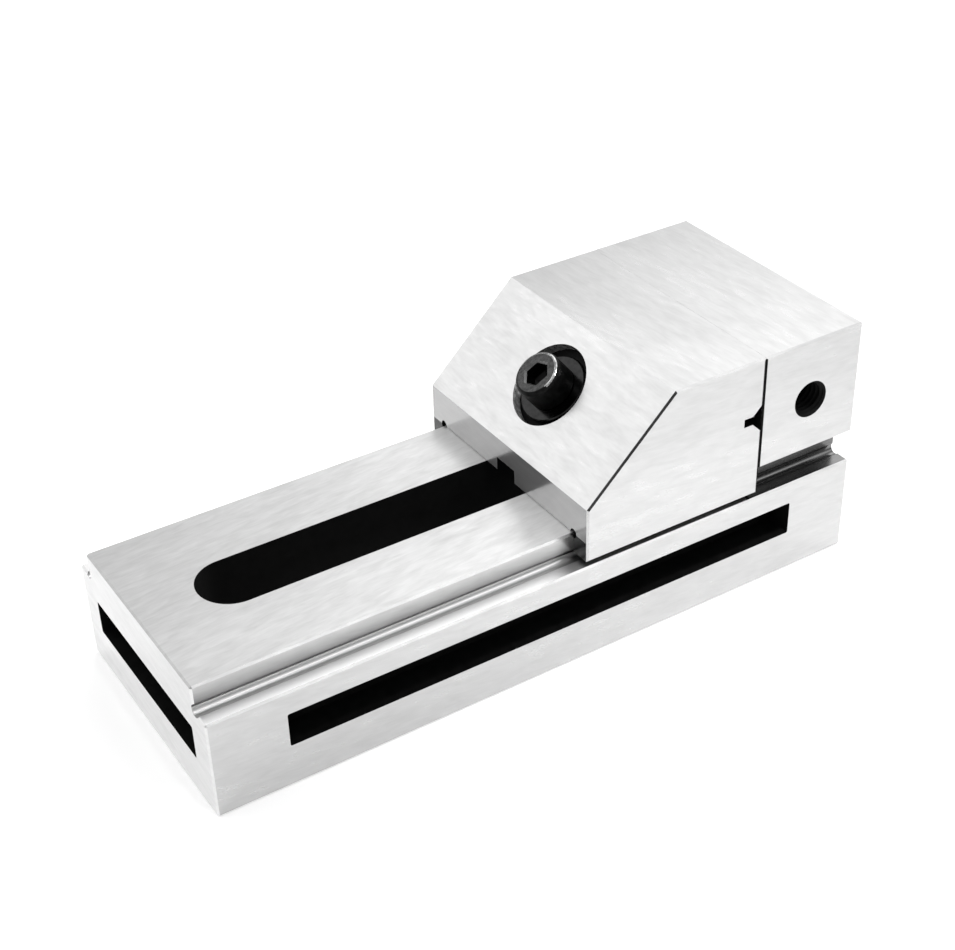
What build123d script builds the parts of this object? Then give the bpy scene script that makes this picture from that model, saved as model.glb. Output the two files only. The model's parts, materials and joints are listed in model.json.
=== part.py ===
from build123d import *
from itertools import product
import math
import os

# A precision grinding vise in millimetres. The base is one ground block with its rail and fixed
# jaw. A screw on a ball seat in the movable jaw's sloping back pulls a draw block, whose cross pin
# hooks into notches under the rail, so the jaw is drawn down and forward at once.
# The origin is under the middle of the base, +X points to the fixed jaw and +Z is up.
# The model stands at rest: jaws closed, screw slackened, cross pin just below the notches.

# Base, ledges and rail
base_length = 190.0
base_width = 73.0
ledge_height = 28.0
rail_height = 35.0
rail_width = 61.0
foot_groove_radius = 1.6
foot_groove_offset = 0.7

# Jaws
jaw_top = 70.0
fixed_jaw_thickness = 32.0
fixed_jaw_clearance = 2.0
jaw_length = 54.0
slope_run = 26.0
jaw_back_height = 10.0
open_jaw_from_end = 4.0
skirt_clearance = 1.5
closed_gap = 0.03
rail_clearance = 0.03
corner_relief_radius = 1.3

# V groove across the movable jaw's clamping face
vee_above_rail = 17.7
vee_opening = 8.4
vee_angle = 90.0
vee_relief_width = 2.4
vee_total_depth = 5.8

# Channel along the movable jaw's underside
channel_width = 8.1
channel_depth = 3.9

# Tapped hole for a work stop in the fixed jaw's side
stop_hole_from_end = 16.0
stop_hole_above_rail = 17.5
stop_hole_tap_diameter = 8.5
stop_hole_rim_diameter = 10.4
stop_hole_depth = 18.0

# Clamp slots in the base's four sides
clamp_slot_bottom = 12.0
clamp_slot_height = 9.6
clamp_slot_depth = 8.0
clamp_slot_corner_radius = 0.5
side_slot_from_end = 20.0
end_slot_length = 56.0

# Slot through the rail, and the pocket under it that leaves two flanges
rail_slot_end_room = 11.2
rail_slot_block_room = 4.6
flange_thickness = 11.0
pocket_end_room = 2.0
undercut_room = 1.3

# Clamp screw
screw_up_slope = 19.0
screw_lean = 5.0
screw_diameter = 8.0
screw_end_room = 1.4
thread_pitch = 1.25
thread_clearance = 0.05
head_diameter = 13.0
head_height = 8.0
head_chamfer = 0.9
head_clearance = 0.03
socket_across_flats = 6.0
socket_depth = 4.5
socket_cone_depth = 1.2
clamp_turns = 5.0

# Spherical washer and its seat
washer_diameter = 19.0
washer_bore = 9.0
washer_rim = 1.0
washer_top_depth = 1.6
ball_radius = 10.2
seat_clearance = 0.05
counterbore_diameter = 23.0
counterbore_margin = 0.6
swing_angle = 6.5

# Draw block, cross pin and the notches that the pin hooks into
block_diameter = 17.0
nose_diameter = 12.0
nose_length = 15.0
nose_end_room = 2.3
pin_diameter = 8.0
pin_length = 30.0
pin_to_shoulder = 6.0
pin_to_toe = 7.5
notch_count = 9
notch_clearance = 0.2
shank_side_room = 0.75
nose_side_room = 1.0
swing_room = 0.25
block_side_room = 0.75
pin_end_room = 1.0

# Broken edges
edge_break = 0.5
fine_edge_break = 0.25
turned_chamfer = 0.8

# How near an edge has to lie to a plane to count as in it
fit_tolerance = 0.001

# Places along the vise
base_end = base_length / 2
fixed_face = base_end - fixed_jaw_thickness
jaw_front = fixed_face - closed_gap
jaw_back = jaw_front - jaw_length
slope_foot_height = rail_height + jaw_back_height
skirt_foot_height = ledge_height + skirt_clearance
fixed_jaw_underside = rail_height + fixed_jaw_clearance
vee_height = rail_height + vee_above_rail
stop_hole_height = rail_height + stop_hole_above_rail
pocket_height = rail_height - flange_thickness
pocket_width = pin_length + 2 * pin_end_room
rail_slot_width = block_diameter + 2 * block_side_room
slope = math.atan2(jaw_top - slope_foot_height, slope_run)
jaw_opening = base_length - fixed_jaw_thickness - jaw_length - open_jaw_from_end

# The middle of the counterbore's mouth, and the ball's centre, which stands out of the seat
mouth_x = jaw_back + screw_up_slope * math.cos(slope)
mouth_z = slope_foot_height + screw_up_slope * math.sin(slope)
ball_z = math.sqrt(ball_radius**2 - (washer_diameter / 2) ** 2) - washer_top_depth - washer_rim

# The screw leans back from square by a turn about the ball's centre. Along it, and along the
# slope's own plane, z points out of the jaw and x up the slope, so that a depth is a negative z
screw_angle = slope - math.radians(screw_lean)
screw_x = mouth_x + ball_z * (math.sin(screw_angle) - math.sin(slope))
screw_z = mouth_z + ball_z * (math.cos(slope) - math.cos(screw_angle))
slope_plane = Plane(
    origin=(mouth_x, 0, mouth_z),
    x_dir=(math.cos(slope), 0, math.sin(slope)),
    z_dir=(-math.sin(slope), 0, math.cos(slope)),
)
screw_plane = Plane(
    origin=(screw_x, 0, screw_z),
    x_dir=(math.cos(screw_angle), 0, math.sin(screw_angle)),
    z_dir=(-math.sin(screw_angle), 0, math.cos(screw_angle)),
)

# Depths along the screw
draw_stroke = clamp_turns * thread_pitch
pin_depth_tight = (screw_z - pocket_height) / math.cos(screw_angle)
pin_depth = pin_depth_tight + draw_stroke
shoulder_depth_tight = pin_depth_tight - pin_to_shoulder
nose_top_depth_tight = shoulder_depth_tight - nose_length
nose_recess_depth = nose_top_depth_tight - nose_end_room
screw_length = pin_depth_tight - pin_diameter / 2 - screw_end_room - washer_top_depth
counterbore_depth = washer_top_depth + washer_rim + counterbore_margin

# What swings about the ball's centre needs room below it
swing_slope = math.tan(math.radians(swing_angle))
shank_swing = (nose_recess_depth + ball_z) * swing_slope
nose_swing = (shoulder_depth_tight + ball_z) * swing_slope

# Notches, and the pocket and slot that the draw block travels in
pin_tight_x = screw_x + pin_depth_tight * math.sin(screw_angle)
notch_pitch = jaw_opening / (notch_count - 1)
notch_radius = pin_diameter / 2 + notch_clearance
last_notch_x = pin_tight_x - (notch_count - 1) * notch_pitch
toe_x = (
    screw_x
    + (pin_depth + pin_to_toe) * math.sin(screw_angle)
    + block_diameter / 2 * math.cos(screw_angle)
)
pocket_start = last_notch_x - notch_radius - pocket_end_room
pocket_end = toe_x + pocket_end_room
nose_x = (
    screw_x
    + nose_top_depth_tight * math.sin(screw_angle)
    - nose_diameter / 2 * math.cos(screw_angle)
)
rail_slot_start = nose_x - jaw_opening - rail_slot_end_room

# The draw block's upper corner on the fixed jaw's side, drawn tight
corner_x = (
    screw_x
    + shoulder_depth_tight * math.sin(screw_angle)
    + block_diameter / 2 * math.cos(screw_angle)
)
corner_z = (
    screw_z
    - shoulder_depth_tight * math.cos(screw_angle)
    + block_diameter / 2 * math.sin(screw_angle)
)
rail_slot_end = corner_x + rail_slot_block_room
undercut_height = corner_z - draw_stroke * math.cos(screw_angle) + undercut_room

# Turned pieces stand on their origin or hang from it
stood = (Align.CENTER, Align.CENTER, Align.MIN)
hung = (Align.CENTER, Align.CENTER, Align.MAX)


def span_box(x0, x1, y0, y1, z0, z1):
    """A box between two corners."""
    return Pos(x0, y0, z0) * Box(x1 - x0, y1 - y0, z1 - z0, align=Align.MIN)


def is_outside_corner(solid, edge):
    """True where three of the four quarters round a straight edge are empty."""
    reach = edge_break / 2
    along = Axis(edge @ 0, edge % 0)
    across = [axis.direction for axis in (Axis.X, Axis.Y, Axis.Z) if axis.is_normal(along)]
    filled = 0
    for first, second in product((-reach, reach), repeat=2):
        filled += solid.is_inside(edge @ 0.5 + across[0] * first + across[1] * second)
    return filled == 1


def edges_at(edges, x):
    """The edges that lie in the plane across the vise at x."""
    return edges.filter_by_position(Axis.X, x - fit_tolerance, x + fit_tolerance)


def base_blank():
    """The ground block: ledges, rail, and the fixed jaw that stands on the rail's end."""
    half_base = base_width / 2
    half_rail = rail_width / 2
    section = Polyline(
        (-half_base, 0),
        (half_base, 0),
        (half_base, ledge_height),
        (half_rail, ledge_height),
        (half_rail, rail_height),
        (-half_rail, rail_height),
        (-half_rail, ledge_height),
        (-half_base, ledge_height),
        close=True,
    )
    blank = extrude(Plane.YZ.offset(-base_end) * make_face(section), base_length)
    neck = span_box(fixed_face, base_end, -half_rail, half_rail, rail_height, fixed_jaw_underside)
    jaw = span_box(fixed_face, base_end, -half_base, half_base, fixed_jaw_underside, jaw_top)
    blank = blank + neck + jaw
    corners = ShapeList(edge for edge in blank.edges() if is_outside_corner(blank, edge))
    blank = chamfer(corners - edges_at(corners, fixed_face), edge_break)
    upright = edges_at(blank.edges(), fixed_face).filter_by(Axis.Z).sort_by(Axis.Y)
    return chamfer([upright[0], upright[-1]], fine_edge_break)


def foot_grooves():
    """Round relief grooves where the rail's sides meet the ledges, for the grinding wheel."""
    groove = Rot(0, 90, 0) * Cylinder(foot_groove_radius, base_length)
    side = rail_width / 2 + foot_groove_offset
    height = ledge_height + foot_groove_offset
    return [Pos(0, side, height) * groove, Pos(0, -side, height) * groove]


def clamp_slots():
    """Closed slots for strap clamps, one in each long side and one in each end."""
    low = clamp_slot_bottom
    high = clamp_slot_bottom + clamp_slot_height
    half_base = base_width / 2
    half_side = base_end - side_slot_from_end
    half_end = end_slot_length / 2
    side = span_box(-half_side, half_side, half_base - clamp_slot_depth, half_base, low, high)
    side = fillet(side.edges().filter_by(Axis.Y), clamp_slot_corner_radius)
    end = span_box(base_end - clamp_slot_depth, base_end, -half_end, half_end, low, high)
    end = fillet(end.edges().filter_by(Axis.X), clamp_slot_corner_radius)
    return [side, side.mirror(Plane.XZ), end, end.mirror(Plane.YZ)]


def rail_slot():
    """The round-ended slot that the draw block's body rises through."""
    length = rail_slot_end - rail_slot_start
    outline = Pos((rail_slot_start + rail_slot_end) / 2, 0) * SlotOverall(length, rail_slot_width)
    half_slot = rail_slot_width / 2
    undercut = span_box(jaw_back, pocket_end, -half_slot, half_slot, pocket_height, undercut_height)
    return [extrude(outline, rail_height), undercut]


def pocket():
    """The pocket open below, which leaves a flange each side of the slot."""
    half_pocket = pocket_width / 2
    return span_box(pocket_start, pocket_end, -half_pocket, half_pocket, 0, pocket_height)


def notches():
    """Round notches in the flanges' undersides, each relieved along the line the pin comes in on."""
    entry = Pos(0, 0, -draw_stroke) * Rot(90, 0, 0) * Cylinder(notch_radius, pocket_width)
    seat = Rot(90, 0, 0) * Cylinder(notch_radius, pocket_width)
    run = Pos(0, 0, -draw_stroke / 2) * Box(2 * notch_radius, pocket_width, draw_stroke)
    notch = screw_plane.location * Pos(0, 0, -pin_depth_tight) * (seat + run + entry)
    return [Pos(-index * notch_pitch, 0, 0) * notch for index in range(notch_count)]


def stop_hole():
    """The work stop's tapped hole at its core size, with a countersunk rim."""
    tap_radius = stop_hole_tap_diameter / 2
    rim_radius = stop_hole_rim_diameter / 2
    rim_depth = rim_radius - tap_radius
    profile = Polyline(
        (0, 0),
        (rim_radius, 0),
        (tap_radius, -rim_depth),
        (tap_radius, -stop_hole_depth),
        (0, -stop_hole_depth - tap_radius),
        close=True,
    )
    bore = revolve(Plane.XZ * make_face(profile), Axis.Z)
    middle = (base_end - stop_hole_from_end, -base_width / 2, stop_hole_height)
    return Plane(origin=middle, z_dir=(0, -1, 0)).location * bore


def make_vise_base():
    """Base, rail and fixed jaw in one piece."""
    body = base_blank()
    for cut in [*foot_grooves(), *clamp_slots(), *rail_slot(), pocket(), *notches(), stop_hole()]:
        body = body - cut
    return body


def jaw_blank():
    """The wedge-backed jaw block with its skirts, before it is fitted to the rail."""
    profile = Polyline(
        (jaw_back, skirt_foot_height),
        (jaw_front, skirt_foot_height),
        (jaw_front, jaw_top),
        (jaw_back + slope_run, jaw_top),
        (jaw_back, slope_foot_height),
        close=True,
    )
    blank = extrude(Plane.XZ * make_face(profile), base_width / 2, both=True)
    outlines = blank.edges().filter_by(Axis.Y, reverse=True)
    blank = chamfer(outlines - edges_at(outlines, jaw_front), edge_break)
    upright = edges_at(blank.edges(), jaw_front).filter_by(Axis.Z)
    return chamfer(upright, fine_edge_break)


def rail_way():
    """The room the jaw leaves for the rail, with a round relief in each inner corner."""
    half_rail = rail_width / 2 + rail_clearance
    seat = rail_height + rail_clearance
    way = span_box(jaw_back, jaw_front, -half_rail, half_rail, skirt_foot_height, seat)
    relief = Rot(0, 90, 0) * Cylinder(corner_relief_radius, jaw_length)
    middle = (jaw_back + jaw_front) / 2
    return [way, Pos(middle, half_rail, seat) * relief, Pos(middle, -half_rail, seat) * relief]


def vee_groove():
    """The level V across the clamping face, with a narrow relief slot at its bottom."""
    half_opening = vee_opening / 2
    half_relief = vee_relief_width / 2
    flank_depth = (half_opening - half_relief) / math.tan(math.radians(vee_angle / 2))
    outline = Polyline(
        (jaw_front, vee_height - half_opening),
        (jaw_front, vee_height + half_opening),
        (jaw_front - flank_depth, vee_height + half_relief),
        (jaw_front - vee_total_depth, vee_height + half_relief),
        (jaw_front - vee_total_depth, vee_height - half_relief),
        (jaw_front - flank_depth, vee_height - half_relief),
        close=True,
    )
    return extrude(Plane.XZ * make_face(outline), base_width / 2, both=True)


def underside_channel():
    """The channel from the jaw's back to the screw's passage."""
    half_channel = channel_width / 2
    channel_top = rail_height + channel_depth
    passage_x = mouth_x + (mouth_z - rail_height) * math.tan(slope)
    return span_box(jaw_back, passage_x, -half_channel, half_channel, rail_height, channel_top)


def screw_passage():
    """Counterbore, ball seat and the two oblong passages that let the screw swing."""
    wall = Cylinder(counterbore_diameter / 2, 2 * counterbore_depth)
    ball = Pos(0, 0, ball_z) * Sphere(ball_radius + seat_clearance)
    seat = ball & Cylinder(counterbore_diameter / 2, 2 * ball_radius)
    shank_width = screw_diameter + 2 * shank_side_room
    shank_outline = SlotOverall(screw_diameter + 2 * (shank_swing + swing_room), shank_width)
    nose_width = nose_diameter + 2 * nose_side_room
    nose_outline = SlotOverall(nose_diameter + 2 * (nose_swing + swing_room), nose_width)
    shank_passage = extrude(shank_outline, -nose_recess_depth)
    nose_passage = Pos(0, 0, -nose_recess_depth) * extrude(nose_outline, -pin_depth_tight)
    return [slope_plane.location * cut for cut in (wall, seat, shank_passage, nose_passage)]


def make_movable_jaw():
    """The sliding jaw."""
    body = jaw_blank()
    for cut in [*rail_way(), vee_groove(), underside_channel(), *screw_passage()]:
        body = body - cut
    return body


def make_spherical_washer():
    """A washer flat on top and spherical below, which lets the screw take up its own line."""
    radius = washer_diameter / 2
    blank = Cylinder(radius, ball_radius, align=hung)
    blank = chamfer(blank.edges().sort_by(Axis.Z)[-1], fine_edge_break)
    washer = (Pos(0, 0, -washer_top_depth) * blank) & (Pos(0, 0, ball_z) * Sphere(ball_radius))
    washer = washer - Cylinder(washer_bore / 2, 2 * ball_radius)
    return screw_plane.location * washer


def make_clamp_screw():
    """A hexagon socket screw whose head bears on the spherical washer."""
    head = Cylinder(head_diameter / 2, head_height, align=stood)
    head = chamfer(head.edges().sort_by(Axis.Z)[-1], head_chamfer)
    shank = Cylinder(screw_diameter / 2 - thread_clearance, screw_length, align=hung)
    shank = chamfer(shank.edges().sort_by(Axis.Z)[0], turned_chamfer)
    hexagon = RegularPolygon(socket_across_flats / 2, 6, major_radius=False)
    socket = Pos(0, 0, head_height) * extrude(hexagon, -socket_depth)
    cone = Cone(0, socket_across_flats / 2, socket_cone_depth, align=stood)
    cone = Pos(0, 0, head_height - socket_depth - socket_cone_depth) * cone
    screw = head + shank - socket - cone
    return screw_plane.location * Pos(0, 0, head_clearance - washer_top_depth) * screw


def make_draw_block():
    """The turned nut that the screw draws up, cross-drilled for its pin."""
    body = Cylinder(block_diameter / 2, pin_to_toe + pin_to_shoulder, align=stood)
    nose = Cylinder(nose_diameter / 2, nose_length, align=stood)
    block = Pos(0, 0, -pin_to_toe) * body + Pos(0, 0, pin_to_shoulder) * nose
    rings = block.edges().filter_by(GeomType.CIRCLE).sort_by(Axis.Z)
    block = chamfer([rings[0], rings[-1]], turned_chamfer)
    thread = Cylinder(screw_diameter / 2, pin_to_shoulder + nose_length, align=stood)
    block = block - thread - Rot(90, 0, 0) * Cylinder(pin_diameter / 2, block_diameter)
    return screw_plane.location * Pos(0, 0, -pin_depth) * block


def make_cross_pin():
    """The hardened pin pressed through the draw block, whose two ends hook into the notches."""
    pin = Cylinder(pin_diameter / 2, pin_length)
    pin = chamfer(pin.edges().filter_by(GeomType.CIRCLE), turned_chamfer)
    return screw_plane.location * Pos(0, 0, -pin_depth) * Rot(90, 0, 0) * pin


pieces = {
    "vise_base": make_vise_base,
    "movable_jaw": make_movable_jaw,
    "clamp_screw": make_clamp_screw,
    "spherical_washer": make_spherical_washer,
    "draw_block": make_draw_block,
    "cross_pin": make_cross_pin,
}

os.makedirs("parts", exist_ok=True)
for name, make in pieces.items():
    export_step(make(), f"parts/{name}.step")

print("slope", round(math.degrees(slope), 3), "degrees, jaw opening", jaw_opening)
print("screw mouth", round(mouth_x, 4), round(mouth_z, 4), "draw stroke", draw_stroke)
print("screw axis through", round(screw_x, 4), round(screw_z, 4))
print("screw angle", round(math.degrees(screw_angle), 4), "degrees")
print("pin depth", round(pin_depth, 4), "ball height", round(ball_z, 4))
print("pocket", round(pocket_start, 3), round(pocket_end, 3))
print("rail slot", round(rail_slot_start, 3), round(rail_slot_end, 3))
print("screw length", round(screw_length, 3))
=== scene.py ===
"""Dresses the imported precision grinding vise: ground and black steel, a pale floor and soft light."""
import json
import math

import bmesh
import bpy
from mathutils import Matrix, Vector


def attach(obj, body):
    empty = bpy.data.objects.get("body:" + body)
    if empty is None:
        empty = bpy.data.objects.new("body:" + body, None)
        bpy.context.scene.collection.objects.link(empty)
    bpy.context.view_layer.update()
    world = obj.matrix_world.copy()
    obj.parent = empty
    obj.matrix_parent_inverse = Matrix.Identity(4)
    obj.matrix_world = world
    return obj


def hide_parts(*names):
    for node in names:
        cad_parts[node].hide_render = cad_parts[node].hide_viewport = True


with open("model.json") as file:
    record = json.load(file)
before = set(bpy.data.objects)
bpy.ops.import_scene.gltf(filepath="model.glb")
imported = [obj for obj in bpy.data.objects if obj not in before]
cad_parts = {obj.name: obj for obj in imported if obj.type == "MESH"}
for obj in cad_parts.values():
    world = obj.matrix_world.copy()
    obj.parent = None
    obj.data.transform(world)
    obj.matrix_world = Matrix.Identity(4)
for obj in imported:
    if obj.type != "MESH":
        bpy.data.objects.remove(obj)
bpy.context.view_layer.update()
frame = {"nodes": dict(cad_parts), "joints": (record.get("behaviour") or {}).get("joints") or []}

MM = 0.001

# Camera, fitted to the photograph
CAMERA_PLACE = Vector((-0.19626, -0.32067, 0.29169))
CAMERA_AZIMUTH = math.radians(-31.513)
CAMERA_ELEVATION = math.radians(33.913)
CAMERA_ROLL = math.radians(-1.717)
CAMERA_LENS = 66.565
CAMERA_SENSOR = 36.0
CLIP_START = 0.01
CLIP_END = 30.0

# Base and rail
BASE_END = 95.0 * MM
HALF_WIDTH = 36.5 * MM
HALF_RAIL = 30.5 * MM
LEDGE_TOP = 28.0 * MM
RAIL_TOP = 35.0 * MM
GROOVE_RADIUS = 1.6 * MM
GROOVE_SHIFT = 0.7 * MM

# Fixed jaw, and where the darker tone of the notch under it, which is painted shade, starts
FIXED_JAW_FOOT = 37.0 * MM
JAW_TOP = 70.0 * MM
FIXED_FACE = 63.0 * MM
NOTCH_SHADE_START = FIXED_FACE - 2.5 * MM

# Movable jaw, closed as it is at rest, with its slope at the back
JAW_GAP = 0.03 * MM
JAW_LENGTH = 54.0 * MM
JAW_FRONT = FIXED_FACE - JAW_GAP
JAW_BACK = JAW_FRONT - JAW_LENGTH
SLOPE_RUN = 26.0 * MM
SLOPE_FOOT = 45.0 * MM
SLOPE_START = Vector((JAW_BACK, 0, SLOPE_FOOT))
UP_SLOPE = Vector((SLOPE_RUN, 0, JAW_TOP - SLOPE_FOOT)).normalized()
SLOPE_NORMAL = Vector((SLOPE_FOOT - JAW_TOP, 0, SLOPE_RUN)).normalized()
SKIRT_FOOT = 29.5 * MM
RAIL_FIT = 0.03 * MM
CORNER_RELIEF = 1.3 * MM

# Counterbore in the slope, with the middle of its mouth
COUNTERBORE_RADIUS = 11.5 * MM
MOUTH_UP_SLOPE = 19.0 * MM
MOUTH = SLOPE_START + UP_SLOPE * MOUTH_UP_SLOPE

# Broken edges: those of the CAD, the fine bevel added to sharp ones and the wider line of the joint.
# Above the first angle an edge is sharp, and below the second its faces are shaded as one
EDGE_BREAK = 0.5 * MM
FINE_BEVEL = 0.14 * MM
JOINT_WIDENING = 0.22 * MM
SHARP_ANGLE = math.radians(50)
SMOOTH_ANGLE = math.radians(15)

# Stop hole, the threaded rod that cuts it, and how near to its axis an edge counts as its own
STOP_HOLE = Vector((BASE_END - 16.0 * MM, -HALF_WIDTH, RAIL_TOP + 17.5 * MM))
STOP_THREAD_RADIUS = 5.0 * MM
STOP_BORE_RADIUS = 4.25 * MM
STOP_CORE = STOP_BORE_RADIUS - 0.1 * MM
STOP_PITCH = 1.5 * MM
STOP_THREAD_DEPTH = 17.0 * MM
STOP_RUN_IN = 1.0 * MM
STOP_FADE = 0.5 * MM
STOP_HOLE_REACH = 5.6 * MM

# Screw head and its socket
HEAD_RADIUS = 6.5 * MM
HEAD_HEIGHT = 8.0 * MM
HEAD_ROUND = 1.2 * MM
HEAD_FIT = 0.03 * MM
HEAD_FOOT_INSET = 0.35 * MM
HEAD_FOOT_RISE = 0.25 * MM
SOCKET_FLATS = 6.0 * MM
SOCKET_DEPTH = 4.5 * MM
SOCKET_CONE = 1.2 * MM
SOCKET_BREAK = 0.55 * MM
SOCKET_RISE = 1.0 * MM
SOCKET_TURN = math.radians(47.0)

# Finishes on the screw, and where its rim is bright: wear with a painted highlight, on one side only
HEAD_SIDE, HEAD_TOP, HEAD_RIM, SOCKET_RIM = range(4)
WORN_GLINT_FROM = -0.2 * HEAD_RADIUS
WORN_GLINT_UPRIGHT = 0.72

# Screw shank and thread
SHANK_RADIUS = 3.95 * MM
SHANK_CORE = 3.3 * MM
SHANK_LENGTH = 36.8 * MM
SHANK_PLAIN = 6.0 * MM
SHANK_TAPER = 0.6 * MM
SHANK_OVERLAP = 0.2 * MM
THREAD_DROP = 0.1 * MM
SCREW_PITCH = 1.25 * MM
SCREW_FADE = 1.0 * MM

# How finely round shapes are drawn: sides round, steps in an arc, and rows in one pitch of thread
ROUND_SIDES = 96
SLIM_SIDES = 64
SOCKET_SIDES = 6
RIM_STEPS = 8
BALL_STEPS = 12
THREAD_ROWS = 8

# Thread form: a triangular wave, steepened and lowered so that crests and roots are flat
WAVE_GAIN = 1.25
WAVE_DROP = 0.12

# Washer, below the slope, with the middle of its ball, and the foot of the head just above it
WASHER_TOP = -1.6 * MM
WASHER_RIM = 1.0 * MM
WASHER_RADIUS = 9.5 * MM
WASHER_BORE = 4.5 * MM
WASHER_RIM_BREAK = 0.25 * MM
WASHER_BORE_BREAK = 0.2 * MM
BALL_RADIUS = 10.2 * MM
BALL_HEIGHT = WASHER_TOP - WASHER_RIM + math.sqrt(BALL_RADIUS**2 - WASHER_RADIUS**2)
HEAD_FOOT = WASHER_TOP + HEAD_FIT

# Draw block
BLOCK_RADIUS = 8.5 * MM
NOSE_RADIUS = 6.0 * MM
PIN_TO_TOE = 7.5 * MM
PIN_TO_SHOULDER = 6.0 * MM
NOSE_LENGTH = 15.0 * MM
NUT_BORE = 4.0 * MM
NUT_BORE_BREAK = 0.3 * MM
SHOULDER_BREAK = 0.15 * MM
TURNED_CHAMFER = 0.8 * MM
CROSS_HOLE_REACH = 12.0 * MM

# Cross pin, with ends that rise a little towards the middle
PIN_RADIUS = 4.0 * MM
PIN_LENGTH = 30.0 * MM
PIN_EDGE_DROP = 0.12 * MM
PIN_CROWN_DROP = 0.02 * MM

# Limits for telling faces apart: two distances, then parts of a face's normal
NEAR = 0.02 * MM
BORE_REACH = 0.1 * MM
SQUARE = 0.1
SLANT_LOW = 0.3
SLANT_HIGH = 0.9
FLAT = 0.99
ON_SLOPE = 0.999

# Limits for joining and splitting a CAD mesh, in metres and radians
MERGE_REACH = 1e-6
FLATTEN_ANGLE = 0.002
SPLIT_REACH = 1e-7

# Kinds of face that are ground, so that their sharp edges are broken finely
GROUND = ("along", "across", "top", "groove", "end", "ledge", "rail", "lapped")

# Wheel marks and mottling: the marks' tilt, the turn of the stretched highlight as a share of a
# circle, the relief's depth, the noise's roughness and the spans of it that tones and roughness use,
# and the size and the share of specks beside clouds
GRAIN_TILT = math.radians(5.0)
GRAIN_TURN = 0.25
GRAIN_DEPTH = 1e-6
NOISE_ROUGHNESS = 0.6
TONE_SPAN = (0.32, 0.68)
GRAIN_SPAN = (0.38, 0.62)
BLACK_SPAN = (0.35, 0.65)
SPECK_SIZE = 0.125
SPECK_SHARE = 0.3

# Surroundings: their level, and the soft lights in them, each with its direction, the cosines of its
# core and its rim, and its rise, which is below zero for the one dark place
WORLD_LEVEL = 0.44
SOFT_LIGHTS = (
    ((0.52, 0.42, 0.744), 0.978, 0.866, 2.05),
    ((-0.500, 0.640, 0.583), 0.975, 0.87, 1.32),
    ((0.438, -0.619, 0.634), 0.985, 0.91, 1.5),
    ((0.43, -0.90, 0.05), 0.985, 0.93, -0.34),
    ((-0.434, -0.707, 0.558), 0.97, 0.82, 0.22),
)

# Floor and lamps
FLOOR_HALF = 6.0
FLOOR_HEIGHT = -0.05 * MM
FLOOR_TONE = 0.86
FLOOR_GLOW = 0.35
KEY_PLACE = (-0.7, 0.2, 1.3)
KEY_AIM = (0, 0, 0.03)
KEY_SIZE = 0.9
KEY_POWER = 2.0
POOL_PLACE = (0.075, -0.36, 1.3)
POOL_AIM = (0.075, -0.06, 0)
POOL_SPREAD = math.radians(15)
POOL_SOFTNESS = 0.1
POOL_POWER = 50.0


def joint_named(name):
    """A joint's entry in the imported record."""
    return next(joint for joint in frame["joints"] if joint["name"] == name)


def screw_frame():
    """The matrix whose z runs out along the screw and whose x runs up the slope."""
    joint = joint_named("clamp_screw_turn")
    out = -Vector(joint["axis"]).normalized()
    across = Vector((0, 1, 0))
    up_slope = across.cross(out)
    turn = Matrix((up_slope, across, out)).transposed().to_4x4()
    return Matrix.Translation(Vector(joint["pos_m"])) @ turn


def pin_frame(place):
    """The screw's frame, moved down to the middle of the cross pin."""
    corners = [Vector(corner) for corner in frame["nodes"]["cross_pin"].bound_box]
    middle = sum(corners, Vector()) / len(corners)
    depth = (place.inverted() @ middle).z
    return place @ Matrix.Translation((0, 0, depth))


# Node graphs

def add_node(tree, kind, inputs=None, **settings):
    """A node with its settings, and its inputs set or linked."""
    node = tree.nodes.new(kind)
    for key, value in settings.items():
        setattr(node, key, value)
    for key, value in (inputs or {}).items():
        if isinstance(value, bpy.types.NodeSocket):
            tree.links.new(value, node.inputs[key])
        else:
            node.inputs[key].default_value = value
    return node


def math_node(tree, operation, first, second=0.0):
    """One Math node's result."""
    return add_node(tree, "ShaderNodeMath", {0: first, 1: second}, operation=operation).outputs[0]


def remap(tree, value, low, high, to_low, to_high, smooth=False):
    """A value carried from one range to another."""
    kind = "SMOOTHSTEP" if smooth else "LINEAR"
    inputs = {"Value": value, "From Min": low, "From Max": high, "To Min": to_low, "To Max": to_high}
    return add_node(tree, "ShaderNodeMapRange", inputs, interpolation_type=kind).outputs["Result"]


def stretched_noise(tree, grain, along, across, detail, shift, warp=0.0):
    """Noise in marks of one length along the grain and another across it, in metres."""
    coords = add_node(tree, "ShaderNodeTexCoord").outputs["Object"]
    tilt = GRAIN_TILT if warp else 0.0
    inputs = {
        "Vector": coords,
        "Location": (shift,) * 3,
        "Rotation": (tilt,) * 3,
        "Scale": [along if axis == grain else across for axis in "xyz"],
    }
    mapping = add_node(tree, "ShaderNodeMapping", inputs, vector_type="TEXTURE")
    inputs = {
        "Vector": mapping.outputs[0],
        "Scale": 1.0,
        "Detail": detail,
        "Roughness": NOISE_ROUGHNESS,
        "Distortion": warp,
    }
    return add_node(tree, "ShaderNodeTexNoise", inputs).outputs["Fac"]


def grey(tree, value, low, high):
    """A neutral colour that runs between two greys with a value."""
    level = remap(tree, value, *TONE_SPAN, low, high)
    colour = add_node(tree, "ShaderNodeCombineColor", {"Red": level, "Green": level, "Blue": level})
    return colour.outputs["Color"]


def new_material(name, metallic):
    """A material with its graph and shader."""
    material = bpy.data.materials.new(name)
    material.use_nodes = True
    shader = material.node_tree.nodes["Principled BSDF"]
    shader.inputs["Metallic"].default_value = metallic
    return material, material.node_tree, shader


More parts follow.
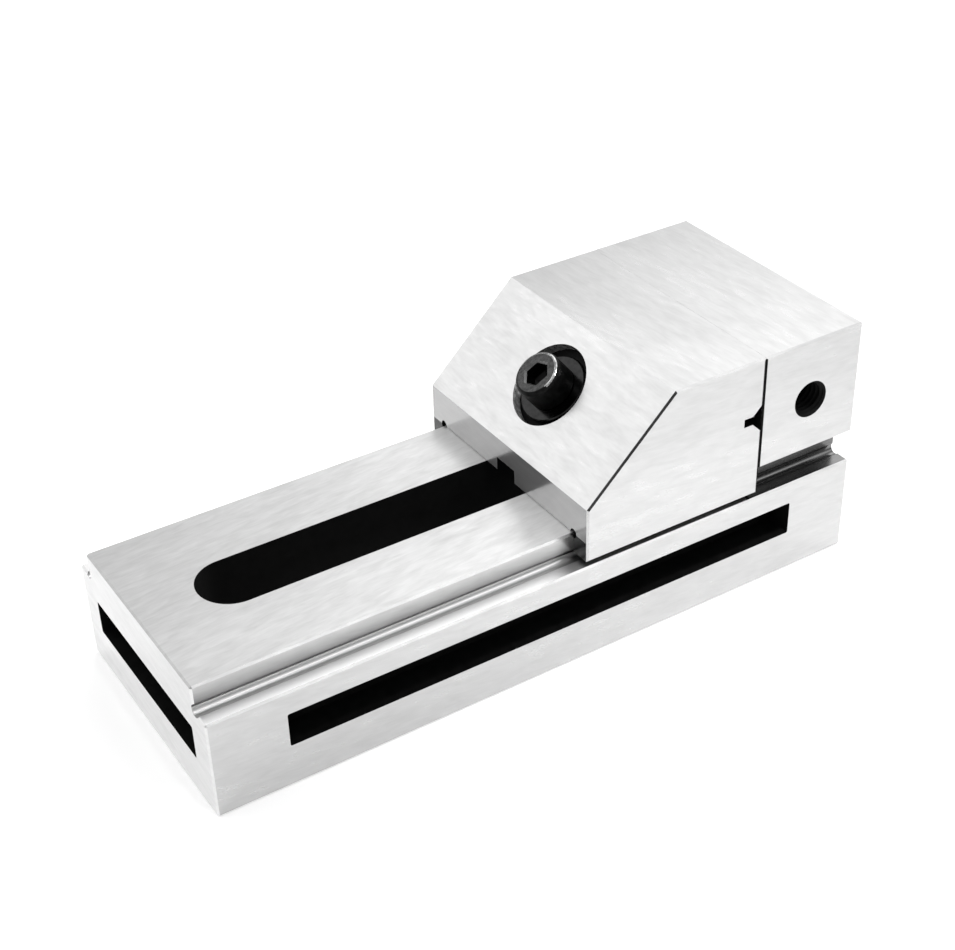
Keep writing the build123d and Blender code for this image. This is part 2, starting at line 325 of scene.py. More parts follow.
def add_bump(tree, shader, height, depth):
    """Fine relief of one depth in metres."""
    bump = add_node(tree, "ShaderNodeBump", {"Height": height, "Strength": 1.0, "Distance": depth})
    tree.links.new(bump.outputs["Normal"], shader.inputs["Normal"])


def weighted_sum(tree, layers):
    """Values added up, each times its share."""
    total = 0.0
    for value, share in layers:
        total = math_node(tree, "ADD", total, math_node(tree, "MULTIPLY", value, share))
    return total


def grain_tone(tree, grain):
    """Wheel marks of four sizes in one value, and the finest ones alone."""
    patches = stretched_noise(tree, grain, 60 * MM, 22 * MM, 1.0, 5.1)
    feathers = stretched_noise(tree, grain, 9 * MM, 2.0 * MM, 2.0, 3.7, 0.5)
    strokes = stretched_noise(tree, grain, 6 * MM, 0.6 * MM, 1.0, 8.9, 0.3)
    lines = stretched_noise(tree, grain, 12 * MM, 0.3 * MM, 1.0, 11.3)
    tone = weighted_sum(tree, ((patches, 0.28), (feathers, 0.48), (strokes, 0.18), (lines, 0.06)))
    return tone, lines


def ground_steel(name, grain, low, high, rough, anisotropy=0.4, metallic=1.0):
    """Ground steel with wheel marks along one axis, between two tones and rougher where darker."""
    material, tree, shader = new_material(name, metallic)
    tone, lines = grain_tone(tree, grain)
    tree.links.new(grey(tree, tone, low, high), shader.inputs["Base Color"])
    tree.links.new(remap(tree, tone, *GRAIN_SPAN, rough[1], rough[0]), shader.inputs["Roughness"])
    add_bump(tree, shader, lines, GRAIN_DEPTH)
    shader.inputs["Anisotropic"].default_value = anisotropy
    shader.inputs["Anisotropic Rotation"].default_value = GRAIN_TURN
    along = [1.0 if axis == grain else 0.0 for axis in "xyz"]
    tangent = add_node(tree, "ShaderNodeCombineXYZ", dict(zip("XYZ", along)))
    tree.links.new(tangent.outputs[0], shader.inputs["Tangent"])
    return material


def painted_shade_downwards(material, share_at_foot):
    """Paints shade on the rail side's finish, darker towards the groove at its foot."""
    tree = material.node_tree
    colour_input = tree.nodes["Principled BSDF"].inputs["Base Color"]
    colour = colour_input.links[0].from_socket
    coords = add_node(tree, "ShaderNodeTexCoord").outputs["Object"]
    height = add_node(tree, "ShaderNodeSeparateXYZ", {0: coords}).outputs["Z"]
    foot = LEDGE_TOP + GROOVE_SHIFT + GROOVE_RADIUS
    share = remap(tree, height, foot, RAIL_TOP, share_at_foot, 1.0)
    scaled = add_node(tree, "ShaderNodeVectorMath", {0: colour, "Scale": share}, operation="SCALE")
    tree.links.new(scaled.outputs["Vector"], colour_input)
    return material


def black_steel(name, low, high, rough, mark=1.5 * MM, metallic=1.0, depth=2e-6, gloss=0.5):
    """Black-finished steel with a fine uneven tone, in clouds of one size and smaller specks."""
    material, tree, shader = new_material(name, metallic)
    clouds = stretched_noise(tree, "none", mark, mark, 4.0, 2.9)
    speck = mark * SPECK_SIZE
    specks = stretched_noise(tree, "none", speck, speck, 2.0, 8.3)
    tone = weighted_sum(tree, ((clouds, 1 - SPECK_SHARE), (specks, SPECK_SHARE)))
    tree.links.new(grey(tree, tone, low, high), shader.inputs["Base Color"])
    tree.links.new(remap(tree, tone, *BLACK_SPAN, *rough), shader.inputs["Roughness"])
    shader.inputs["Specular IOR Level"].default_value = gloss
    add_bump(tree, shader, specks, depth)
    return material


# Meshes

def new_piece(name, bm, materials):
    """An object made from a bmesh, linked and with its materials."""
    mesh = bpy.data.meshes.new(name)
    bm.to_mesh(mesh)
    bm.free()
    for material in materials:
        mesh.materials.append(material)
    piece = bpy.data.objects.new(name, mesh)
    bpy.context.scene.collection.objects.link(piece)
    return piece


def take_mesh(piece):
    """A piece's mesh as a bmesh; the piece itself is removed."""
    bm = bmesh.new()
    bm.from_mesh(piece.data)
    bpy.data.objects.remove(piece)
    return bm


def join(bm, part):
    """Adds another bmesh to a bmesh and frees it."""
    mesh = bpy.data.meshes.new("part")
    part.to_mesh(mesh)
    bm.from_mesh(mesh)
    part.free()
    bpy.data.meshes.remove(mesh)


def shade_by_angle(bm):
    """Smooth shading except over sharp edges."""
    for face in bm.faces:
        face.smooth = True
    for edge in bm.edges:
        edge.smooth = len(edge.link_faces) == 2 and edge.calc_face_angle() < SMOOTH_ANGLE


def ring(bm, radius, height, count):
    """A ring of vertices; a radius of zero gives one vertex."""
    if radius == 0:
        return [bm.verts.new((0, 0, height))]
    turns = (math.tau * index / count for index in range(count))
    return [bm.verts.new((radius * math.cos(turn), radius * math.sin(turn), height)) for turn in turns]


def bridge(bm, lower, upper):
    """Faces between two rings, either of which may be a single point."""
    count = max(len(lower), len(upper))
    for index in range(count):
        after = (index + 1) % count
        corners = [lower[index % len(lower)], lower[after % len(lower)]]
        corners += [upper[after % len(upper)], upper[index % len(upper)]]
        # A point that stands for a whole ring counts once
        bm.faces.new(dict.fromkeys(corners))


def turned(profile, count=ROUND_SIDES):
    """A solid turned from (radius, height) points; a closed loop when no end lies on the axis."""
    bm = bmesh.new()
    rings = [ring(bm, radius, height, count) for radius, height in profile]
    for lower, upper in zip(rings, rings[1:]):
        bridge(bm, lower, upper)
    if profile[0][0] and profile[-1][0]:
        bridge(bm, rings[-1], rings[0])
    bmesh.ops.recalc_face_normals(bm, faces=bm.faces)
    return bm


def threaded(core, crest, start, end, pitch, fade):
    """A closed rod with a helical thread that fades out at both ends."""
    bm = bmesh.new()
    rows = round((end - start) / pitch * THREAD_ROWS)
    last = None
    for row in range(rows + 1):
        height = start + (end - start) * row / rows
        depth = min(1.0, (height - start) / fade, (end - height) / fade)
        circle = []
        for index in range(SLIM_SIDES):
            share = (height / pitch - index / SLIM_SIDES) % 1
            wave = 1 - abs(2 * share - 1)
            rise = max(0.0, min(1.0, wave * WAVE_GAIN - WAVE_DROP))
            radius = core + (crest - core) * depth * rise
            turn = math.tau * index / SLIM_SIDES
            circle.append(bm.verts.new((radius * math.cos(turn), radius * math.sin(turn), height)))
        if last:
            bridge(bm, last, circle)
        else:
            bm.faces.new(reversed(circle))
        last = circle
    bm.faces.new(last)
    bmesh.ops.recalc_face_normals(bm, faces=bm.faces)
    return bm


def cut(piece, cutter):
    """Takes a cutter's shape out of a piece and removes the cutter."""
    modifier = piece.modifiers.new("cut", "BOOLEAN")
    modifier.operation = "DIFFERENCE"
    modifier.solver = "EXACT"
    modifier.object = cutter
    bpy.context.view_layer.update()
    depsgraph = bpy.context.evaluated_depsgraph_get()
    mesh = bpy.data.meshes.new_from_object(piece.evaluated_get(depsgraph))
    piece.modifiers.clear()
    piece.data = mesh
    bpy.data.objects.remove(cutter)


def clean_copy(node):
    """A CAD node's shape as one closed mesh with whole flat faces."""
    bm = bmesh.new()
    bm.from_mesh(frame["nodes"][node].data)
    bmesh.ops.remove_doubles(bm, verts=bm.verts, dist=MERGE_REACH)
    bmesh.ops.dissolve_limit(bm, angle_limit=FLATTEN_ANGLE, verts=bm.verts, edges=bm.edges)
    for face in bm.faces:
        face.material_index = 0
    return bm


def near_plane(face, axis, value):
    """True where all of a face lies in a plane square to an axis."""
    return all(abs(vert.co[axis] - value) < NEAR for vert in face.verts)


def on_side(face, distance):
    """True for a face in either upright plane at one distance from the middle."""
    return near_plane(face, 1, distance) or near_plane(face, 1, -distance)


def in_bore(face, y, z, radius):
    """True for a face of a round groove that runs along the vise."""
    centre = face.calc_center_median()
    return math.hypot(abs(centre.y) - y, centre.z - z) < radius + NEAR


def slanted(part):
    """True for a part of a normal that is neither small nor nearly the whole of it."""
    return SLANT_LOW < abs(part) < SLANT_HIGH


def at_joint(face, value):
    """True for the narrow upright chamfers where the two jaws meet."""
    centre = face.calc_center_median()
    beside = abs(centre.x - value) < EDGE_BREAK and abs(centre.y) > HALF_WIDTH - EDGE_BREAK
    return beside and slanted(face.normal.x) and slanted(face.normal.y)


def base_edge_kind(face, centre):
    """Which finish a face outside the base's main planes has, on a broken edge or in a recess."""
    if centre.z > FIXED_JAW_FOOT and at_joint(face, FIXED_FACE):
        return "recess"
    levels = (0.0, LEDGE_TOP, RAIL_TOP, FIXED_JAW_FOOT, JAW_TOP)
    distances = [abs(abs(centre.x) - BASE_END), abs(centre.x - FIXED_FACE)]
    distances += [abs(abs(centre.y) - HALF_WIDTH), abs(abs(centre.y) - HALF_RAIL)]
    distances += [abs(centre.z - level) for level in levels]
    close_to_two_planes = sorted(distances)[1] <= EDGE_BREAK
    if not close_to_two_planes or max(abs(part) for part in face.normal) > FLAT:
        return "recess"
    # The left end's broken top edge takes the darker rail tone: a painted shade line
    if centre.x < EDGE_BREAK - BASE_END:
        return "rail" if centre.z > RAIL_TOP - EDGE_BREAK else "end"
    return "edge"


def base_kind(face):
    """Which finish a face of the base has."""
    centre = face.calc_center_median()
    # Under the fixed jaw, from a little before its face, and on the groove's downward faces: painted shade
    in_notch_shade = centre.x > NOTCH_SHADE_START - NEAR and centre.z < FIXED_JAW_FOOT - NEAR
    # The groove's upward faces, the end face and the ledge take lighter copies of the ground steel: painted
    # light
    if in_bore(face, HALF_RAIL + GROOVE_SHIFT, LEDGE_TOP + GROOVE_SHIFT, GROOVE_RADIUS):
        return "notch" if in_notch_shade or face.normal.z < 0 else "groove"
    if near_plane(face, 0, -BASE_END):
        return "end"
    if near_plane(face, 0, BASE_END) or near_plane(face, 0, FIXED_FACE) or near_plane(face, 2, JAW_TOP):
        return "across"
    if near_plane(face, 2, LEDGE_TOP):
        return "notch" if in_notch_shade else "ledge"
    # The rail side takes a darker copy of the ground steel, with painted shade towards its foot
    if on_side(face, HALF_RAIL):
        return "notch" if in_notch_shade else "rail"
    if near_plane(face, 2, FIXED_JAW_FOOT):
        return "recess"
    if on_side(face, HALF_WIDTH) or near_plane(face, 2, 0.0):
        return "along"
    if near_plane(face, 2, RAIL_TOP):
        return "top"
    return base_edge_kind(face, centre)


def in_counterbore(face):
    """True for the counterbore's wall."""
    from_mouth = face.calc_center_median() - MOUTH
    depth = from_mouth.dot(SLOPE_NORMAL)
    spread = (from_mouth - SLOPE_NORMAL * depth).length
    on_wall = abs(spread - COUNTERBORE_RADIUS) < BORE_REACH
    return depth < -NEAR and on_wall and abs(face.normal.dot(SLOPE_NORMAL)) < SQUARE


def jaw_kind(face):
    """Which finish a face of the movable jaw has."""
    centre = face.calc_center_median()
    if in_counterbore(face):
        # The downhill side of the counterbore's wall: bright patches, partly wear, partly painted glints
        return "worn_and_glinting" if centre.x < MOUTH.x else "bored"
    if in_bore(face, HALF_RAIL + RAIL_FIT, RAIL_TOP + RAIL_FIT, CORNER_RELIEF):
        return "recess"
    off_slope = (centre - SLOPE_START).dot(SLOPE_NORMAL)
    if abs(off_slope) < NEAR and face.normal.dot(SLOPE_NORMAL) > ON_SLOPE:
        return "across"
    if near_plane(face, 2, JAW_TOP) or near_plane(face, 0, JAW_FRONT):
        return "across"
    # Below the rail's top the back face takes a near-black tone: painted shade
    if near_plane(face, 0, JAW_BACK):
        return "foot" if centre.z < RAIL_TOP else "lapped"
    if on_side(face, HALF_WIDTH) or near_plane(face, 2, RAIL_TOP + RAIL_FIT):
        return "along"
    if abs(abs(centre.y) - HALF_RAIL - RAIL_FIT) < NEAR:
        return "along"
    # The slope's broken near edge takes the same near-black tone: a painted dark reflection
    beside = HALF_WIDTH - EDGE_BREAK < abs(centre.y) < HALF_WIDTH
    if beside and abs(off_slope) < EDGE_BREAK and face.normal.z > SLANT_LOW:
        return "foot"
    if at_joint(face, JAW_FRONT):
        return "recess"
    return "edge" if beside and slanted(face.normal.y) else "recess"


def middle_of(edge):
    """The point halfway along an edge."""
    return (edge.verts[0].co + edge.verts[1].co) / 2


def at_closed_joint(edge):
    """True for the edges where the closed jaws meet, which are left sharp."""
    middle = middle_of(edge)
    return FIXED_FACE + NEAR > middle.x > JAW_FRONT - NEAR and middle.z > FIXED_JAW_FOOT


def in_stop_hole(edge):
    """True for the edges of the stop hole's thread."""
    middle = middle_of(edge)
    spread = math.hypot(middle.x - STOP_HOLE.x, middle.z - STOP_HOLE.z)
    return spread < STOP_HOLE_REACH and middle.y < 0


def open_edges(bm, kinds):
    """The outward edges of ground faces, to be broken finely."""
    ground = {kinds.index(name) for name in GROUND}
    return [
        edge for edge in bm.edges
        if len(edge.link_faces) == 2 and edge.is_convex and edge.calc_face_angle() > SHARP_ANGLE
        and all(face.material_index in ground for face in edge.link_faces)
        and not at_closed_joint(edge) and not in_stop_hole(edge)
    ]


def joint_edges(bm, kinds):
    """The outer edges of the upright chamfers where the two jaws meet."""
    pair = {kinds.index("along"), kinds.index("recess")}
    return [
        edge for edge in bm.edges
        if {face.material_index for face in edge.link_faces} == pair
        and any(at_joint(face, FIXED_FACE) or at_joint(face, JAW_FRONT) for face in edge.link_faces)
        and all(abs(abs(vert.co.y) - HALF_WIDTH) < NEAR for vert in edge.verts)
        and all(vert.co.z > SKIRT_FOOT for vert in edge.verts)
    ]


def hold_inside(bm, low, high):
    """Brings stray vertices back to the block's own box."""
    for vert in bm.verts:
        vert.co = [max(least, min(most, value)) for least, value, most in zip(low, vert.co, high)]


def split(bm, place, normal, chosen):
    """Cuts the chosen faces along a plane, so that each side can have its own finish or painted shade."""
    faces = [face for face in bm.faces if chosen(face)]
    edges = {edge for face in faces for edge in face.edges}
    verts = {vert for face in faces for vert in face.verts}
    parts = faces + list(edges) + list(verts)
    bmesh.ops.bisect_plane(bm, geom=parts, plane_co=place, plane_no=normal, dist=SPLIT_REACH)


def break_edges(bm, edges, width, measure, clamp, finish):
    """Cuts edges off flat and gives the new faces one finish."""
    bmesh.ops.bevel(
        bm, geom=edges, offset=width, offset_type=measure, segments=1, profile=0.5,
        affect="EDGES", clamp_overlap=clamp, material=finish,
    )


def finish_block(bm, kind_of, kinds):
    """Gives each face its finish, breaks the sharp edges and sets the shading."""
    low = [min(vert.co[axis] for vert in bm.verts) for axis in range(3)]
    high = [max(vert.co[axis] for vert in bm.verts) for axis in range(3)]
    for face in bm.faces:
        face.material_index = kinds.index(kind_of(face))
    break_edges(bm, open_edges(bm, kinds), FINE_BEVEL, "WIDTH", False, kinds.index("edge"))
    break_edges(bm, joint_edges(bm, kinds), JOINT_WIDENING, "OFFSET", True, kinds.index("recess"))
    hold_inside(bm, low, high)
    shade_by_angle(bm)


# Pieces

def stop_hole_rod():
    """The threaded rod that cuts the stop hole, in its place."""
    rod = threaded(STOP_CORE, STOP_THREAD_RADIUS, -STOP_RUN_IN, STOP_THREAD_DEPTH, STOP_PITCH, STOP_FADE)
    rod.transform(Matrix.Translation(STOP_HOLE) @ Matrix.Rotation(-math.pi / 2, 4, "X"))
    return rod


def beside_rail(face):
    """True for the faces of the ledge, the groove and the rail's side."""
    centre = face.calc_center_median()
    in_height = LEDGE_TOP - GROOVE_RADIUS < centre.z < RAIL_TOP - NEAR
    return in_height and HALF_RAIL - GROOVE_RADIUS < abs(centre.y) < HALF_WIDTH - NEAR


def make_base(finishes):
    """Base, rail and fixed jaw, with the stop hole's thread."""
    blank = new_piece("base_blank", clean_copy("vise_base"), [])
    cut(blank, new_piece("thread_cutter", stop_hole_rod(), []))
    bm = take_mesh(blank)
    # Cuts the ledge, groove and rail side where the notch's painted shade starts
    split(bm, (NOTCH_SHADE_START, 0, 0), (1, 0, 0), beside_rail)
    finish_block(bm, base_kind, list(finishes))
    return new_piece("ground_base", bm, finishes.values())


def make_jaw(finishes):
    """The movable jaw."""
    bm = clean_copy("movable_jaw")
    # Splits the back face at the rail's top, so that its lower part can take painted shade
    split(bm, (0, 0, RAIL_TOP), (0, 0, 1), lambda face: near_plane(face, 0, JAW_BACK))
    finish_block(bm, jaw_kind, list(finishes))
    return new_piece("ground_jaw", bm, finishes.values())


def hexagon_cutter():
    """The socket: a hexagon whose mouth is broken, with a drilled point at its bottom."""
    corner = SOCKET_FLATS / math.sqrt(3)
    mouth = corner + SOCKET_BREAK
    sections = [
        (mouth + SOCKET_RISE, SOCKET_RISE),
        (mouth, 0),
        (corner, -SOCKET_BREAK),
        (corner, -SOCKET_DEPTH),
        (0, -SOCKET_DEPTH - SOCKET_CONE),
    ]
    bm = bmesh.new()
    rings = [ring(bm, radius, height, SOCKET_SIDES) for radius, height in sections]
    for lower, upper in zip(rings, rings[1:]):
        bridge(bm, lower, upper)
    bm.faces.new(rings[0])
    bmesh.ops.recalc_face_normals(bm, faces=bm.faces)
    return bm


def rounded_rim():
    """The points of the head's rounded top edge, from the side up."""
    angles = (math.pi / 2 * step / RIM_STEPS for step in range(RIM_STEPS + 1))
    return [
        (HEAD_RADIUS - HEAD_ROUND * (1 - math.cos(angle)), HEAD_HEIGHT - HEAD_ROUND * (1 - math.sin(angle)))
        for angle in angles
    ]


def head_kind(face):
    """Which finish a face of the screw's head has."""
    centre = face.calc_center_median()
    if centre.z > HEAD_HEIGHT - NEAR and face.normal.z > FLAT:
        return HEAD_TOP
    near_top = centre.z > HEAD_HEIGHT - HEAD_ROUND
    if math.hypot(centre.x, centre.y) < HEAD_RADIUS - HEAD_ROUND:
        # The socket's broken mouth takes a lighter tone: a painted highlight
        broken = SLANT_LOW < face.normal.z < SLANT_HIGH
        return SOCKET_RIM if broken and near_top else HEAD_SIDE
    # Bright on one side of the rim only: partly wear, partly a painted highlight
    worn_and_glinting = centre.x > WORN_GLINT_FROM and face.normal.z > WORN_GLINT_UPRIGHT
    return HEAD_RIM if worn_and_glinting and near_top else HEAD_SIDE


def make_head():
    """The turned head with its broached socket, as a bmesh that stands on its foot."""
    profile = [(0, 0), (HEAD_RADIUS - HEAD_FOOT_INSET, 0), (HEAD_RADIUS, HEAD_FOOT_RISE)]
    profile += rounded_rim()
    profile.append((0, HEAD_HEIGHT))
    blank = new_piece("head", turned(profile), [])
    socket = hexagon_cutter()
    socket.transform(Matrix.Translation((0, 0, HEAD_HEIGHT)) @ Matrix.Rotation(SOCKET_TURN, 4, "Z"))
    cut(blank, new_piece("socket_cutter", socket, []))
    bm = take_mesh(blank)
    for face in bm.faces:
        face.material_index = head_kind(face)
    return bm


def make_shank():
    """The plain part of the shank, from inside the head down to the thread's core."""
    taper_end = -SHANK_PLAIN - SHANK_TAPER
    return turned([
        (0, SHANK_OVERLAP),
        (SHANK_RADIUS, SHANK_OVERLAP),
        (SHANK_RADIUS, -SHANK_PLAIN),
        (SHANK_CORE, taper_end),
        (0, taper_end),
    ], SLIM_SIDES)


def make_screw(place, finishes):
    """The socket head screw: head, plain shank and rolled thread."""
    bm = make_head()
    join(bm, make_shank())
    thread_top = -SHANK_PLAIN - THREAD_DROP
    join(bm, threaded(SHANK_CORE, SHANK_RADIUS, -SHANK_LENGTH, thread_top, SCREW_PITCH, SCREW_FADE))
    bm.transform(place @ Matrix.Translation((0, 0, HEAD_FOOT)))
    shade_by_angle(bm)
    return new_piece("socket_screw", bm, finishes)


def washer_profile():
    """The washer's section: flat top, short rim and spherical underside."""
    foot = WASHER_TOP - WASHER_RIM
    first = math.acos((BALL_HEIGHT - foot) / BALL_RADIUS)
    last = math.asin(WASHER_BORE / BALL_RADIUS)
    points = [
        (WASHER_BORE, WASHER_TOP - WASHER_BORE_BREAK),
        (WASHER_BORE + WASHER_BORE_BREAK, WASHER_TOP),
        (WASHER_RADIUS - WASHER_RIM_BREAK, WASHER_TOP),
        (WASHER_RADIUS, WASHER_TOP - WASHER_RIM_BREAK),
    ]
    for step in range(BALL_STEPS + 1):
        angle = first + (last - first) * step / BALL_STEPS
        points.append((BALL_RADIUS * math.sin(angle), BALL_HEIGHT - BALL_RADIUS * math.cos(angle)))
    return points


def make_washer(place, finish):
    """The ball-seat washer."""
    bm = turned(washer_profile())
    bm.transform(place)
    shade_by_angle(bm)
    return new_piece("ball_washer", bm, [finish])


def nut_profile():
    """The draw block's section: toe, body, shoulder and bored nose."""
    nose_top = PIN_TO_SHOULDER + NOSE_LENGTH
    return [
        (0, -PIN_TO_TOE),
        (BLOCK_RADIUS - TURNED_CHAMFER, -PIN_TO_TOE),
        (BLOCK_RADIUS, -PIN_TO_TOE + TURNED_CHAMFER),
        (BLOCK_RADIUS, PIN_TO_SHOULDER - SHOULDER_BREAK),
        (BLOCK_RADIUS - SHOULDER_BREAK, PIN_TO_SHOULDER),
        (NOSE_RADIUS, PIN_TO_SHOULDER),
        (NOSE_RADIUS, nose_top - TURNED_CHAMFER),
        (NOSE_RADIUS - TURNED_CHAMFER, nose_top),
        (NUT_BORE + NUT_BORE_BREAK, nose_top),
        (NUT_BORE, nose_top - NUT_BORE_BREAK),
        (NUT_BORE, 0),
        (0, 0),
    ]


def make_nut(place, finish):
    """The turned draw block with its cross hole, placed by the middle of that hole."""
    blank = new_piece("nut", turned(nut_profile()), [])
    hole = turned([
        (0, -CROSS_HOLE_REACH),
        (PIN_RADIUS, -CROSS_HOLE_REACH),
        (PIN_RADIUS, CROSS_HOLE_REACH),
        (0, CROSS_HOLE_REACH),
    ], SLIM_SIDES)
    hole.transform(Matrix.Rotation(math.pi / 2, 4, "X"))
    cut(blank, new_piece("hole_cutter", hole, []))
    bm = take_mesh(blank)
    bm.transform(place)
    shade_by_angle(bm)
    return new_piece("turned_nut", bm, [finish])


def make_pin(place, finish):
    """The cross pin, with chamfered and slightly domed ends."""
    half = PIN_LENGTH / 2
    end = [
        (PIN_RADIUS, half - TURNED_CHAMFER),
        (PIN_RADIUS - TURNED_CHAMFER, half - PIN_EDGE_DROP),
        (PIN_RADIUS / 2, half - PIN_CROWN_DROP),
        (0, half),
    ]
    other_end = [(radius, -height) for radius, height in reversed(end)]
    bm = turned(other_end + end, SLIM_SIDES)
    bm.transform(place @ Matrix.Rotation(math.pi / 2, 4, "X"))
    shade_by_angle(bm)
    return new_piece("cross_pin_bright", bm, [finish])


def block_finishes():
    """The finishes of the base and the movable jaw, by the name of their kind of face."""
    return {
        "along": ground_steel("ground_along", "x", 0.51, 0.60, (0.27, 0.32)),
        "across": ground_steel("ground_across", "y", 0.48, 0.58, (0.27, 0.32)),
        "top": ground_steel("rail_top", "x", 0.48, 0.63, (0.31, 0.37), metallic=0.65),
        # End face: a lighter copy of the ground steel, painted light
        "end": ground_steel("ground_end", "y", 0.71, 0.82, (0.28, 0.34)),
        # Ledge: the lightest copy of the ground steel, painted light where it faces up
        "ledge": ground_steel("ground_ledge", "x", 0.96, 1.0, (0.33, 0.37), 0.5),
        # Groove's upward faces: a lighter copy of the ground steel, painted light
        "groove": ground_steel("ground_groove", "x", 0.68, 0.74, (0.28, 0.33)),
        # Rail side: a darker copy of the ground steel with painted shade towards the groove
        "rail": painted_shade_downwards(ground_steel("rail_side", "x", 0.47, 0.57, (0.28, 0.34)), 0.50),
        # Painted shade: the notch under the fixed jaw and the groove's downward faces
        "notch": ground_steel("shaded_notch", "x", 0.14, 0.20, (0.20, 0.28)),
        # Painted shade on the jaw's foot, and a painted dark reflection on the slope's near edge
        "foot": ground_steel("shaded_foot", "x", 0.05, 0.09, (0.20, 0.28)),
        "lapped": ground_steel("lapped_back", "y", 0.46, 0.52, (0.15, 0.21), metallic=0.68),
        "edge": ground_steel("worn_edge", "x", 0.48, 0.58, (0.24, 0.32), 0.0),
        "bored": black_steel("bored_wall", 0.02, 1.0, (0.25, 0.40), 1.8 * MM, 0.6, depth=6e-5),
        # Downhill counterbore wall: patches that are partly wear, partly painted glints
        "worn_and_glinting": black_steel("worn_and_glinting_wall", 0.0, 1.0, (0.25, 0.40), 1.4 * MM, 0.0, depth=6e-5),
        "recess": black_steel("hardened_black", 0.002, 0.006, (0.5, 0.65), 2.5 * MM, 0.0, gloss=0.08),
    }


def head_finishes():
    """The finishes of the screw's head, in the order of their numbers."""
    return [
        black_steel("head_side", 0.008, 0.02, (0.35, 0.5)),
        black_steel("head_top", 0.02, 0.085, (0.22, 0.34), 1.0 * MM),
        # Rim: bright steel that is partly wear, partly a painted highlight
        black_steel("head_rim", 0.12, 0.75, (0.16, 0.3), 0.7 * MM),
        # Socket's broken mouth: a lighter tone that is a painted highlight
        black_steel("socket_rim", 0.10, 0.24, (0.3, 0.4), 2.0 * MM),
    ]


def dress():
    """Makes every piece, ties it to its body and hides the CAD node that it stands for."""
    place = screw_frame()
    pin_place = pin_frame(place)
    finishes = block_finishes()
    oxide = black_steel("black_oxide", 0.02, 0.05, (0.22, 0.34))
    screw_finishes = head_finishes()
    washer_finish = black_steel("washer_black", 0.018, 0.035, (0.12, 0.2), 1.2 * MM)
    bright = ground_steel("bright_pin", "y", 0.55, 0.66, (0.18, 0.26))
    rows = [
        (make_base(finishes), "base", "vise_base", "ground_steel"),
        (make_jaw(finishes), "jaw", "movable_jaw", "ground_steel"),
        (make_screw(place, screw_finishes), "screw", "clamp_screw", "black_oxide_steel"),
        (make_washer(place, washer_finish), "jaw", "spherical_washer", "black_oxide_steel"),
        (make_nut(pin_place, oxide), "draw", "draw_block", "black_oxide_steel"),
        (make_pin(pin_place, bright), "draw", "cross_pin", "bright_pin_steel"),
    ]
    for piece, body, node, slot in rows:
        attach(piece, body)
        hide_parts(node)


# Stage

def floor_material():
    """Pale paper that glows a little where it is seen or mirrored, and is clear from below."""
    material = bpy.data.materials.new("pale_floor")
    material.use_nodes = True
    tree = material.node_tree
    tree.nodes.remove(tree.nodes["Principled BSDF"])
    inputs = {"Color": (FLOOR_TONE, FLOOR_TONE, FLOOR_TONE, 1)}
    paper = add_node(tree, "ShaderNodeBsdfDiffuse", inputs).outputs[0]
    path = add_node(tree, "ShaderNodeLightPath")
    seen = math_node(tree, "MAXIMUM", path.outputs["Is Camera Ray"], path.outputs["Is Glossy Ray"])
    seen = math_node(tree, "MAXIMUM", seen, path.outputs["Is Transmission Ray"])
    strength = math_node(tree, "MULTIPLY", seen, FLOOR_GLOW)
    glow = add_node(tree, "ShaderNodeEmission", {"Strength": strength}).outputs[0]
    lit = add_node(tree, "ShaderNodeAddShader", {0: paper, 1: glow}).outputs[0]
    clear = add_node(tree, "ShaderNodeBsdfTransparent").outputs[0]
    below = add_node(tree, "ShaderNodeNewGeometry").outputs["Backfacing"]
    mixed = add_node(tree, "ShaderNodeMixShader", {0: below, 1: lit, 2: clear}).outputs[0]
    tree.links.new(mixed, tree.nodes["Material Output"].inputs["Surface"])
    return material


def make_floor():
    """A pale floor that shows the object's soft shadow and is open from below."""
    bm = bmesh.new()
    signs = ((-1, -1), (1, -1), (1, 1), (-1, 1))
    bm.faces.new([bm.verts.new((x * FLOOR_HALF, y * FLOOR_HALF, FLOOR_HEIGHT)) for x, y in signs])
    floor = new_piece("floor", bm, [floor_material()])


def lobe(tree, direction, aim, inner, outer, level):
    """Light added to the world round one direction, fading between two cosines."""
    inputs = {0: direction, 1: Vector(aim).normalized()}
    nearness = add_node(tree, "ShaderNodeVectorMath", inputs, operation="DOT_PRODUCT").outputs["Value"]
    return remap(tree, nearness, outer, inner, 0.0, level, smooth=True)


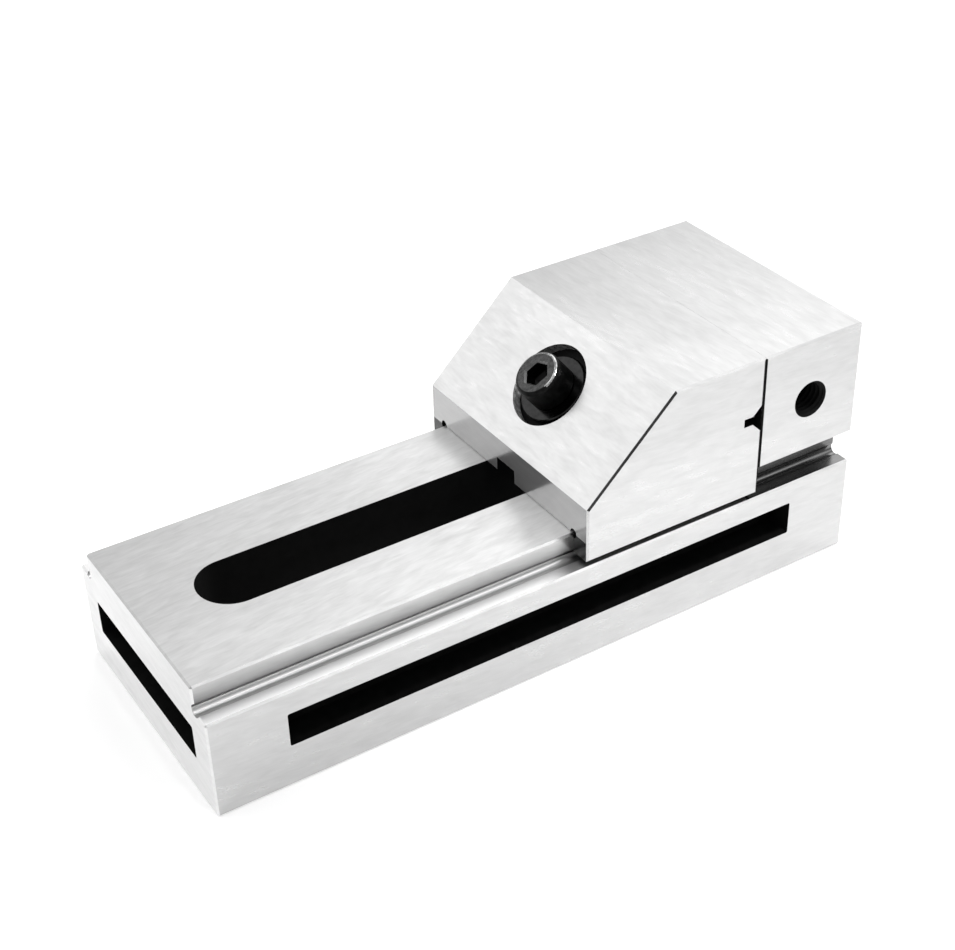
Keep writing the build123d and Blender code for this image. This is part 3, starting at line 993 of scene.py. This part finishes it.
def make_world():
    """An even dome with soft lights and one darker place in it, and plain white to the camera."""
    world = bpy.data.worlds.new("studio")
    world.use_nodes = True
    tree = world.node_tree
    direction = add_node(tree, "ShaderNodeTexCoord").outputs["Generated"]
    level = WORLD_LEVEL
    for aim, inner, outer, rise in SOFT_LIGHTS:
        level = math_node(tree, "ADD", lobe(tree, direction, aim, inner, outer, rise), level)
    path = add_node(tree, "ShaderNodeLightPath")
    seen = math_node(tree, "MAXIMUM", path.outputs["Is Camera Ray"], path.outputs["Is Transmission Ray"])
    strength = add_node(tree, "ShaderNodeMix", {"Factor": seen, "A": level, "B": 1.0}).outputs["Result"]
    tree.links.new(strength, tree.nodes["Background"].inputs["Strength"])
    tree.nodes["Background"].inputs["Color"].default_value = (1, 1, 1, 1)
    bpy.context.scene.world = world


def place_lamp(data, place, aim):
    """Adds a lamp that looks from its place at a point."""
    lamp = bpy.data.objects.new(data.name, data)
    lamp.location = place
    lamp.rotation_mode = "QUATERNION"
    lamp.rotation_quaternion = (Vector(aim) - Vector(place)).to_track_quat("-Z", "Y")
    bpy.context.scene.collection.objects.link(lamp)


def make_key():
    """The soft square lamp, high on the left."""
    data = bpy.data.lights.new("key", "AREA")
    data.shape = "SQUARE"
    data.size = KEY_SIZE
    data.energy = KEY_POWER
    place_lamp(data, KEY_PLACE, KEY_AIM)


def make_pool():
    """The soft spot that lights the floor in front, which the near side mirrors."""
    data = bpy.data.lights.new("pool", "SPOT")
    data.energy = POOL_POWER
    data.spot_size = POOL_SPREAD
    data.spot_blend = 1.0
    data.shadow_soft_size = POOL_SOFTNESS
    place_lamp(data, POOL_PLACE, POOL_AIM)


def make_camera():
    """The camera, turned and rolled as the photograph's was."""
    azimuth, elevation = CAMERA_AZIMUTH, CAMERA_ELEVATION
    flat = math.cos(elevation)
    back = Vector((math.sin(azimuth) * flat, -math.cos(azimuth) * flat, math.sin(elevation)))
    right = (-back).cross(Vector((0, 0, 1))).normalized()
    turn = Matrix((right, back.cross(right), back)).transposed()
    data = bpy.data.cameras.new("camera")
    data.sensor_width = CAMERA_SENSOR
    data.lens = CAMERA_LENS
    data.clip_start = CLIP_START
    data.clip_end = CLIP_END
    camera = bpy.data.objects.new("camera", data)
    rolled = turn @ Matrix.Rotation(CAMERA_ROLL, 3, "Z")
    camera.matrix_world = Matrix.Translation(CAMERA_PLACE) @ rolled.to_4x4()
    bpy.context.scene.collection.objects.link(camera)
    bpy.context.scene.camera = camera


def make_studio():
    """Camera, floor, surroundings and lamps."""
    bpy.context.scene.view_settings.view_transform = "Standard"
    make_camera()
    make_floor()
    make_world()
    make_key()
    make_pool()


dress()
make_studio()
